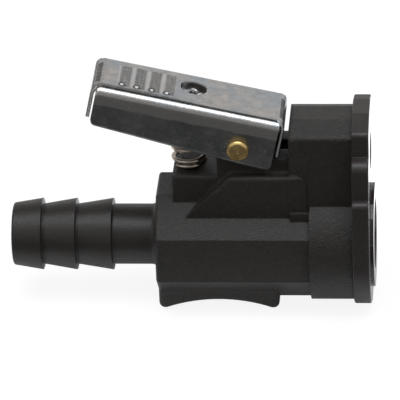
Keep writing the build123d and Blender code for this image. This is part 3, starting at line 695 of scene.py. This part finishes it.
# Painted reflection: where the top dips a little, as round the spring hole, it is painted nearly black.
painted_dark_dip = lever_n.step((TOP - 0.02) * MM, (TOP - 0.08) * MM) * lever_n.step(5.12 * MM, 5.26 * MM)
painted_dark_dip = painted_dark_dip * abs(lever_y).step(3.6 * MM, 3.4 * MM)
top_tone = steel.mix(painted_dark_dip * (0.75 + rolled * 0.2), top_tone, (0.050, 0.042, 0.037))
top_tone = steel.mix(between * 0.7, top_tone, (0.66, 0.65, 0.64))
top_tone = steel.mix(rib_face_shade * (dragged.step(0.25, 0.60) * 0.5 + 0.5), top_tone, (0.22, 0.215, 0.21))
# Painted light on the flanges: a paler band under the fold as a painted reflection, then darker flanges with
# random blotches as painted shade.
shaded_flange_tone = steel.mix(blotch.step(0.3, 0.7), (0.21, 0.215, 0.22), (0.32, 0.32, 0.315))
painted_band_reflection = steel.mix(rolled, (0.62, 0.60, 0.57), (0.50, 0.49, 0.48))
steel_tone = steel.mix(on_side, top_tone, steel.mix(below_painted_band, painted_band_reflection, shaded_flange_tone))
steel_tone = steel.mix(scratches * 0.5, steel_tone, (0.66, 0.65, 0.64))
steel_tone = steel.mix(edge * 0.8, steel_tone, (0.72, 0.71, 0.69))
own_normal = steel.add("ShaderNodeNewGeometry", output="Normal")
face_way = steel.add("ShaderNodeSeparateXYZ", inputs={"Vector": own_normal}, output="Y")
sheared = abs(face_way).step(0.80, 0.95) * abs(lever_y).step(5.7 * MM, 5.5 * MM)
steel_tone = steel.mix(sheared, steel_tone, (0.80, 0.79, 0.77))
steel_rough = (blotch * 0.10 + 0.19) + rolled * 0.05 + on_side * below_painted_band * 0.06 + sheared * 0.3 - edge * 0.05
steel_height = rolled * 0.5 + on_ribs * dragged * 0.9 - scratches * 0.6
stainless = steel.out(Base_Color=steel_tone, Roughness=steel_rough,
                      Normal=steel.bump(steel_height, 0.0035 * MM, edge_normal))

# %% [markdown]
# ## The bent lever
# The lever is one blank cut as a cross and folded: long flanges down both sides, a thumb tab at one end
# and the latch tongue at the other. It could be a box with a bevel, but the folds, the pressed grip ribs
# and the hole over the spring give it its look. The hole is round on its near side, and on its far side
# a flat arc, from which a tab dips into the spring. The grid is the flat blank itself. Where it is
# bent, a distance in the blank becomes an angle round the fold, and Solidify then gives the sheet its
# thickness, so the ribs are hollow underneath as pressed ones are.

# %% Lever sheet
BEND, THUMB_BEND = 1.5, 1.6
THUMB_END, TONGUE_END = -25.35, 6.9
THUMB_REACH, TONGUE_REACH = 5.95, 6.70
FLAT_HALF, END_HALF = 4.65, 5.25
FLAT_START, FLAT_END = THUMB_END + THUMB_BEND, TONGUE_END - BEND
TAB_STRAIGHT, TONGUE_STRAIGHT = THUMB_REACH - THUMB_BEND, TONGUE_REACH - BEND
FOLD, THUMB_FOLD = BEND * math.pi / 2, THUMB_BEND * math.pi / 2
SIDE_START, SIDE_END = -24.5, 6.0
DEPTH_START, DEPTH_END = 6.80, 8.88
FLANGE_CORNER = 0.9
THUMB_EASE, TONGUE_EASE, SIDE_EASE = 1.4, 2.5, 1.5      # where the grid makes room for the corners
HOLE_S, HOLE_Y, HOLE_HALF = -8.8, 0.73, 2.17
HOLE_SHOULDER, HOLE_FAR = 2.2, 3.3
RIB_PLACES = FIRST_RIB + RIB_PITCH * np.arange(RIB_COUNT)
RIBS_START, RIBS_END = -21.4, -12.2
RIB_HALF, RIB_RADIUS, RIB_HEIGHT = 2.75, 0.85, 0.32


def stations(*stretches):
    """Even steps over each (start, end, cells), joined end to end."""
    parts = [np.linspace(a, b, n, endpoint=False) for a, b, n in stretches]
    return np.append(np.concatenate(parts), stretches[-1][1])


def folded(q, low, high, low_bend=BEND):
    """Distance q in the blank: level from low to high, round a quarter fold of radius r, then straight.

    Gives place = q held between low and high, plus or minus r sin a, then the drop r (1 - cos a), the
    length past the fold, and the angle a = (distance past low or high) / r, up to a quarter turn.
    """
    over = np.maximum(q - high, 0) + np.maximum(low - q, 0)
    side = np.where(q > high, 1.0, -1.0)
    radius = np.where(q > high, BEND, low_bend)
    angle = np.clip(over / radius, 0, np.pi / 2)
    straight = np.maximum(over - radius * np.pi / 2, 0)
    place = np.clip(q, low, high) + side * radius * np.sin(angle)
    return place, radius * (1 - np.cos(angle)), straight, angle


def rise_smoothly(value, low, high):
    """0 below low, 1 above high, and 3t^2 - 2t^3 between."""
    t = np.clip((value - low) / (high - low), 0, 1)
    return t * t * (3 - 2 * t)


a = stations(
    (FLAT_START - THUMB_FOLD - TAB_STRAIGHT, FLAT_START - THUMB_FOLD, 12),
    (FLAT_START - THUMB_FOLD, FLAT_START, 14), (FLAT_START, RIBS_START, 14),
    (RIBS_START, RIBS_END, 88), (RIBS_END, HOLE_S - HOLE_HALF, 8),
    (HOLE_S - HOLE_HALF, HOLE_S + HOLE_HALF, 32), (HOLE_S + HOLE_HALF, -3.0, 12), (-3.0, 4.0, 16),
    (4.0, FLAT_END, 12), (FLAT_END, FLAT_END + FOLD, 10),
    (FLAT_END + FOLD, FLAT_END + FOLD + TONGUE_STRAIGHT, 12),
)
b = stations(
    (-FLAT_HALF - FOLD - 1, -FLAT_HALF - FOLD, 14), (-FLAT_HALF - FOLD, -FLAT_HALF, 10),
    (-FLAT_HALF, HOLE_Y - HOLE_HALF, 22), (HOLE_Y - HOLE_HALF, HOLE_Y + HOLE_HALF, 32),
    (HOLE_Y + HOLE_HALF, FLAT_HALF, 14),
    (FLAT_HALF, FLAT_HALF + FOLD, 10), (FLAT_HALF + FOLD, FLAT_HALF + FOLD + 1, 14),
)


def hole_far_edge(x):
    """Arc of the hole's far side at x from its centre: it rises from the shoulders to the far point."""
    rise = HOLE_FAR - HOLE_SHOULDER
    radius = (HOLE_HALF**2 + rise**2) / (2 * rise)
    return HOLE_FAR - radius + np.sqrt(radius**2 - np.clip(x, -HOLE_HALF, HOLE_HALF) ** 2)


def lever_surface(a, b):
    """Outer face of the lever, as (s, y, n) in millimetres from the pivot.

    Fold both ways, press up the ribs, and draw the hole's square of grid lines into a half circle on
    the near side and a flat arc on the far one. Over a flange the last unit of b is stretched to the
    flange's own depth, whose corners are quarter rounds. The flanges droop round the thumb fold.
    """
    a, b = np.meshgrid(a, b, indexing="ij")
    x, y = a - HOLE_S, b - HOLE_Y
    reach = np.maximum(np.abs(x), np.abs(y)) / HOLE_HALF
    unit = np.maximum(reach * HOLE_HALF, 1e-9)
    to_circle = 1 / np.hypot(x / unit, y / unit)
    pull = np.clip((1.7 - reach) / 0.7, 0, 1)
    scale = 1 + (to_circle - 1) * pull * rise_smoothly(-y, -0.6, 0.6)
    bulge = (hole_far_edge(x) - HOLE_Y - HOLE_HALF) * pull * rise_smoothly(y, 0, HOLE_HALF)
    a, b = HOLE_S + x * scale, HOLE_Y + y * scale + bulge
    s, end_drop, end_straight, end_angle = folded(a, FLAT_START, FLAT_END, THUMB_BEND)
    y, side_drop, side_straight, side_angle = folded(b, -FLAT_HALF, FLAT_HALF)
    at_side = rise_smoothly(side_angle, 0, 0.7)
    at_end = rise_smoothly(end_angle, 0, 0.7)
    s = s + at_side * (
        (SIDE_START - FLAT_START) * np.clip(1 - (a - FLAT_START) / THUMB_EASE, 0, 1)
        + (SIDE_END - FLAT_END) * np.clip(1 - (FLAT_END - a) / TONGUE_EASE, 0, 1)
    )
    by_fold = np.clip(1 - (FLAT_HALF - np.abs(b)) / SIDE_EASE, 0, 1)
    y = y + at_end * np.sign(b) * (END_HALF - FLAT_HALF) * by_fold
    depth = DEPTH_START + (DEPTH_END - DEPTH_START) * (s - SIDE_START) / (SIDE_END - SIDE_START)
    from_end = np.clip(np.minimum(s - SIDE_START, SIDE_END - s), 0, FLANGE_CORNER)
    corner = np.sqrt(np.clip(FLANGE_CORNER**2 - (FLANGE_CORNER - from_end) ** 2, 0, None))
    depth = depth - (FLANGE_CORNER - corner)
    beyond = np.clip(FLAT_START - s, 0, THUMB_BEND) * (side_angle > 0)
    droop = (THUMB_BEND - np.sqrt(THUMB_BEND**2 - beyond**2)) * (1 - side_straight)
    drop = end_drop + end_straight + side_drop + side_straight * (depth - BEND) + droop
    nearest = RIB_PLACES[np.argmin(np.abs(s[..., None] - RIB_PLACES), axis=-1)]
    from_rib = np.hypot(s - nearest, y - np.clip(y, -RIB_HALF, RIB_HALF)) / RIB_RADIUS
    rib = RIB_HEIGHT * (1 - rise_smoothly(from_rib, 0.35, 1.0))
    return np.stack([s, y, TOP - drop + rib], axis=-1)


def to_place(local):
    """(s, y, n) in millimetres to metres: the pivot plus s along, y across and n upward."""
    across = np.array([0.0, 1.0, 0.0])
    return PIVOT + (local[..., :1] * ALONG + local[..., 1:2] * across + local[..., 2:] * UPWARD) * MM


blank = to_place(lever_surface(a, b)).reshape(-1, 3)
quads = grid_faces(len(a), len(b))
mid_a, mid_b = np.meshgrid((a[:-1] + a[1:]) / 2, (b[:-1] + b[1:]) / 2, indexing="ij")
cut_corner = ((mid_a < FLAT_START) | (mid_a > FLAT_END)) & (np.abs(mid_b) > FLAT_HALF)
cut_hole = (np.abs(mid_a - HOLE_S) < HOLE_HALF) & (np.abs(mid_b - HOLE_Y) < HOLE_HALF)
quads = quads[~(cut_corner | cut_hole).ravel()]


DIP_RADIUS, DIP_ANGLE = 4.6, 24
TAB_BEND, TAB_ANGLE = 0.5, 86
TAB_LENGTH, TAB_LEAN, TAB_NARROWS = 0.9, 0.05, 0.64


def spring_tab(edge_s):
    """Tab drawn down from the hole's far edge, narrowing as it goes.

    It dips along an arc of radius R up to the angle d, then bends with radius r: at an angle v it is
    (R - r) sin d + r sin v inward and R - (R - r) cos d - r cos v down. A short straight ends it.
    """
    dip = np.radians(np.linspace(0, DIP_ANGLE, 10))
    bend = np.radians(np.linspace(DIP_ANGLE, TAB_ANGLE, 9))[1:]
    rest = DIP_RADIUS - TAB_BEND
    inward = np.append(DIP_RADIUS * np.sin(dip), rest * np.sin(dip[-1]) + TAB_BEND * np.sin(bend))
    level = np.append(DIP_RADIUS * np.cos(dip), rest * np.cos(dip[-1]) + TAB_BEND * np.cos(bend))
    drop = DIP_RADIUS - level
    inward, drop = np.append(inward, inward[-1] + TAB_LEAN), np.append(drop, drop[-1] + TAB_LENGTH)
    width = 1 - TAB_NARROWS * rise_smoothly(np.linspace(0, 1, len(drop)), 0.1, 1.0)
    s = HOLE_S + (edge_s[None, :] - HOLE_S) * width[:, None]
    y = hole_far_edge(edge_s - HOLE_S)[None, :] - inward[:, None]
    return np.stack([s, y, np.broadcast_to(TOP - drop[:, None], s.shape)], axis=-1)


edge_columns = a[(a > HOLE_S - HOLE_HALF - 1e-6) & (a < HOLE_S + HOLE_HALF + 1e-6)]
tab = to_place(spring_tab(edge_columns))
tab_quads = grid_faces(*tab.shape[:2]) + len(blank)
points = np.concatenate([blank, tab.reshape(-1, 3)])


def facing(points, quads, outward):
    """Quads turned so that the middle one's normal agrees with a direction known to be outward."""
    p = points[quads[len(quads) // 2]]
    return quads if np.dot(np.cross(p[1] - p[0], p[3] - p[0]), outward) > 0 else quads[:, ::-1]


tab_outward = UPWARD - np.array([0.0, 1.0, 0.0])
faces = np.concatenate([facing(points, quads, UPWARD), facing(points, tab_quads, tab_outward)])
used, faces = np.unique(faces, return_inverse=True)
points, faces = points[used], faces.reshape(-1, 4)
lever = add_piece(
    "lever_sheet", points, faces.tolist(), stainless, "lever", "release_lever"
)

seam = bmesh.new()
seam.from_mesh(lever.data)
bmesh.ops.remove_doubles(seam, verts=seam.verts, dist=0.002 * MM)
seam.to_mesh(lever.data)
seam.free()
thickness = lever.modifiers.new("sheet thickness", "SOLIDIFY")
thickness.thickness = SHEET * MM
thickness.offset = -1
thickness.use_even_offset = True

# %% [markdown]
# ## Brass pivot pin
# The pin is turned brass, with a small chamfer and a faint dimple where it was parted off, and gone
# brown in the air. A turned part is a profile spun about its axis, so the chamfer and the dimple are in
# the profile itself. It is drawn a little lower than the axis that the lever turns about.

# %% Pin finish and shape
brass_finish = Finish("brass", Metallic=1.0)
from_axis = brass_finish.mapping(brass_finish.place, Location=tuple(-v for v in PIVOT), Scale=(1.0, 0.0, 1.0))
ring_radius = brass_finish.length(from_axis)
lathe = (ring_radius / (0.045 * MM)).sine() * 0.5 + 0.5
patina = brass_finish.noise(1.1 * MM, 5.0, 0.65)
brass_tone = brass_finish.mix(patina.step(0.30, 0.70), (0.80, 0.58, 0.24), (0.50, 0.34, 0.14))
brass_edge_normal = brass_finish.rounded(0.10 * MM)
brass_edge = brass_finish.edges(brass_edge_normal)
brass_tone = brass_finish.mix(brass_edge * 0.7, brass_tone, (0.78, 0.60, 0.28))
brass = brass_finish.out(Base_Color=brass_tone, Roughness=patina * 0.22 + 0.27,
                         Normal=brass_finish.bump(lathe * 0.4 + patina * 0.6, 0.006 * MM, brass_edge_normal))


PIN_OFFSET = np.array([0.08, 0.0, -0.20]) * MM


def turned_pin(profile, sides=96):
    """Spins (distance along Y, radius) about the pin's axis: x = r cos a, z = r sin a, y = distance."""
    angle = np.linspace(0, 2 * np.pi, sides, endpoint=False)[None, :]
    along, radius = profile[:, :1], profile[:, 1:]
    ring = np.stack([radius * np.cos(angle), along + 0 * angle, radius * np.sin(angle)], axis=-1)
    return PIVOT + PIN_OFFSET + ring * MM


half_profile = np.array([
    (7.33, 0.10), (7.36, 0.22), (7.40, 0.26), (7.40, 1.38), (7.38, 1.45),
    (7.08, 1.76), (7.02, 1.80), (6.30, 1.80), (0.0, 1.80),
])
profile = np.concatenate([half_profile * (-1, 1), half_profile[:-1][::-1]])
points, faces = closed_tube(turned_pin(profile))
add_piece("turned_pin", points, faces, brass, "housing", "pivot_pin", sharp=30)
